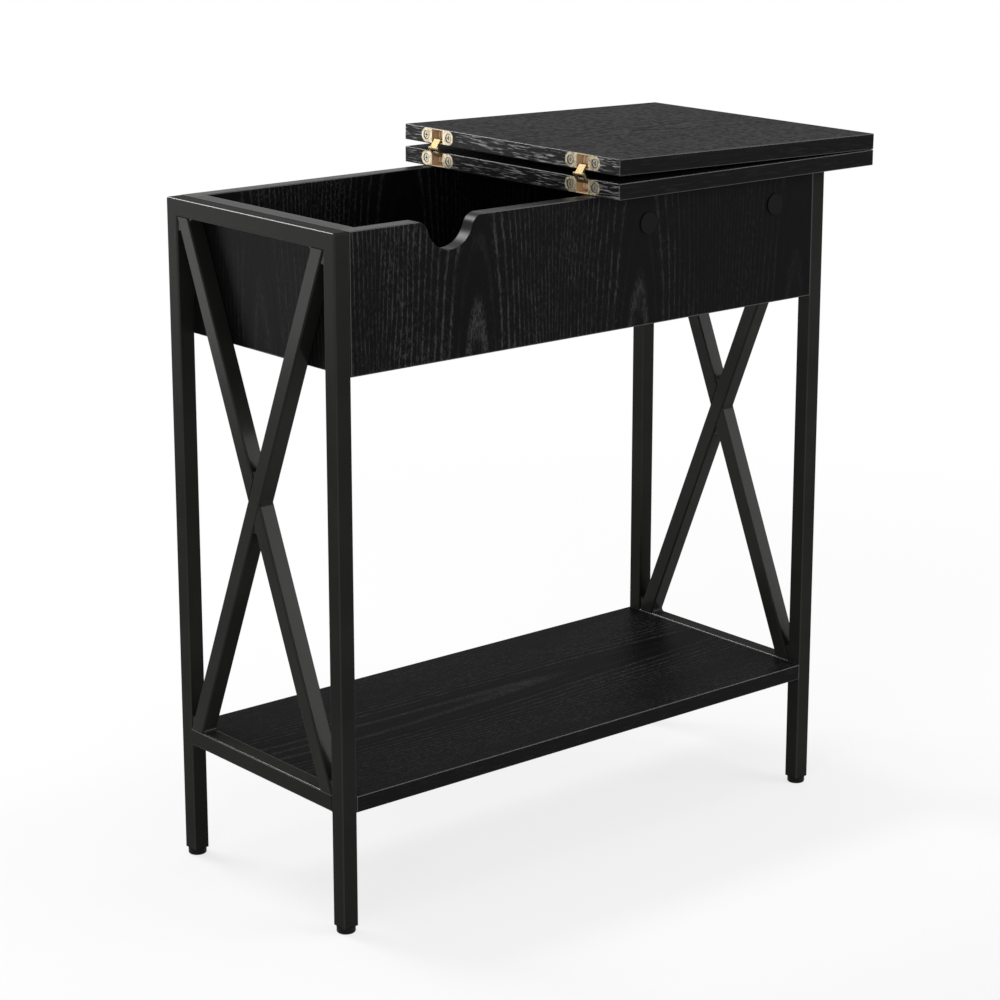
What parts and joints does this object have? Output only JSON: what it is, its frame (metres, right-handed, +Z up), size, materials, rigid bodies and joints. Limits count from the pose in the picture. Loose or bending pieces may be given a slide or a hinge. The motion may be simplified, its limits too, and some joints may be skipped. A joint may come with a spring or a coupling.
{
  "type": "end table",
  "caption": "Narrow black end table with X-braced steel end frames, a lower shelf and a fold-over top on concealed hinges over a storage box with a cable notch.",
  "frame": {"origin": "on the floor, in the middle of the bounding box of the open table", "axes": "+X along the table away from the cable notch, +Y towards the plain long side, +Z up"},
  "size_m": [0.5812, 0.286, 0.6203],
  "materials": {
    "frame_steel": "satin black powder coat",
    "black_board": "black wood-grain laminate on board",
    "hinge_cup": "champagne plated die casting",
    "hinge_link": "golden plated steel",
    "hinge_screw": "champagne plated steel",
    "black_plastic": "matt black",
    "zinc": "bright zinc plating",
    "beech": "plain fluted beech"
  },
  "bodies": {
    "table": {"box_cam_bolts": "zinc", "box_cam_locks": "zinc", "box_floor": "black_board", "box_screws": "zinc", "cam_cover_caps": "black_plastic", "dowels": "beech", "fixed_top": "black_board", "front_fixed_hinge_cup": "hinge_cup", "front_fixed_hinge_cup_screws": "hinge_screw", "front_fixed_hinge_pin": "hinge_screw", "front_panel": "black_board", "left_end_panel": "black_board", "left_front_leg": "frame_steel", "left_long_brace": "frame_steel", "left_lower_brace": "frame_steel", "left_rear_leg": "frame_steel", "left_shelf_rail": "frame_steel", "left_top_rail": "frame_steel", "left_upper_brace": "frame_steel", "leg_inserts": "black_plastic", "rail_nuts": "zinc", "rear_fixed_hinge_cup": "hinge_cup", "rear_fixed_hinge_cup_screws": "hinge_screw", "rear_fixed_hinge_pin": "hinge_screw", "rear_panel": "black_board", "right_end_panel": "black_board", "right_front_leg": "frame_steel", "right_long_brace": "frame_steel", "right_lower_brace": "frame_steel", "right_rear_leg": "frame_steel", "right_shelf_rail": "frame_steel", "right_top_rail": "frame_steel", "right_upper_brace": "frame_steel", "shelf": "black_board", "shelf_brackets": "frame_steel", "shelf_screws": "zinc", "top_cam_bolts": "zinc", "top_cam_locks": "zinc"},
    "flap": {"flap": "black_board", "front_flap_hinge_cup": "hinge_cup", "front_flap_hinge_cup_screws": "hinge_screw", "front_flap_hinge_pin": "hinge_screw", "rear_flap_hinge_cup": "hinge_cup", "rear_flap_hinge_cup_screws": "hinge_screw", "rear_flap_hinge_pin": "hinge_screw"},
    "front_lower_link": {"front_lower_link": "hinge_link", "front_link_rivets": "hinge_screw"},
    "front_upper_link": {"front_upper_link": "hinge_link"},
    "rear_lower_link": {"rear_lower_link": "hinge_link", "rear_link_rivets": "hinge_screw"},
    "rear_upper_link": {"rear_upper_link": "hinge_link"},
    "front_left_foot": {"front_left_foot_pad": "black_plastic", "front_left_foot_stud": "zinc"},
    "front_right_foot": {"front_right_foot_pad": "black_plastic", "front_right_foot_stud": "zinc"},
    "rear_left_foot": {"rear_left_foot_pad": "black_plastic", "rear_left_foot_stud": "zinc"},
    "rear_right_foot": {"rear_right_foot_pad": "black_plastic", "rear_right_foot_stud": "zinc"}
  },
  "joints": [
    {"name": "flap_fold", "type": "hinge", "parent": "table", "child": "flap", "pos_m": [-0.01714, 0, 0.6033], "axis": [0, -1, 0], "range_deg": [0, 181.12]},
    {"name": "front_lower_link_turn", "type": "hinge", "parent": "table", "child": "front_lower_link", "pos_m": [-0.01414, -0.097, 0.5971], "axis": [0, -1, 0], "range_deg": [0, 116.4]},
    {"name": "front_upper_link_turn", "type": "hinge", "parent": "flap", "child": "front_upper_link", "pos_m": [-0.01402, -0.097, 0.60944], "axis": [0, -1, 0], "range_deg": [-116.4, 0]},
    {"name": "rear_lower_link_turn", "type": "hinge", "parent": "table", "child": "rear_lower_link", "pos_m": [-0.01414, 0.097, 0.5971], "axis": [0, -1, 0], "range_deg": [0, 116.4]},
    {"name": "rear_upper_link_turn", "type": "hinge", "parent": "flap", "child": "rear_upper_link", "pos_m": [-0.01402, 0.097, 0.60944], "axis": [0, -1, 0], "range_deg": [-116.4, 0]},
    {"name": "front_left_foot_screw", "type": "slide", "parent": "table", "child": "front_left_foot", "axis": [0, 0, -1], "range_m": [0, 0.008]},
    {"name": "front_right_foot_screw", "type": "slide", "parent": "table", "child": "front_right_foot", "axis": [0, 0, -1], "range_m": [0, 0.008]},
    {"name": "rear_left_foot_screw", "type": "slide", "parent": "table", "child": "rear_left_foot", "axis": [0, 0, -1], "range_m": [0, 0.008]},
    {"name": "rear_right_foot_screw", "type": "slide", "parent": "table", "child": "rear_right_foot", "axis": [0, 0, -1], "range_m": [0, 0.008]}
  ],
  "couplings": [
    {"joint": "front_lower_link_turn", "follows": "flap_fold", "ratio": 0.64179},
    {"joint": "front_upper_link_turn", "follows": "flap_fold", "ratio": -0.64179},
    {"joint": "rear_lower_link_turn", "follows": "flap_fold", "ratio": 0.64179},
    {"joint": "rear_upper_link_turn", "follows": "flap_fold", "ratio": -0.64179}
  ]
}
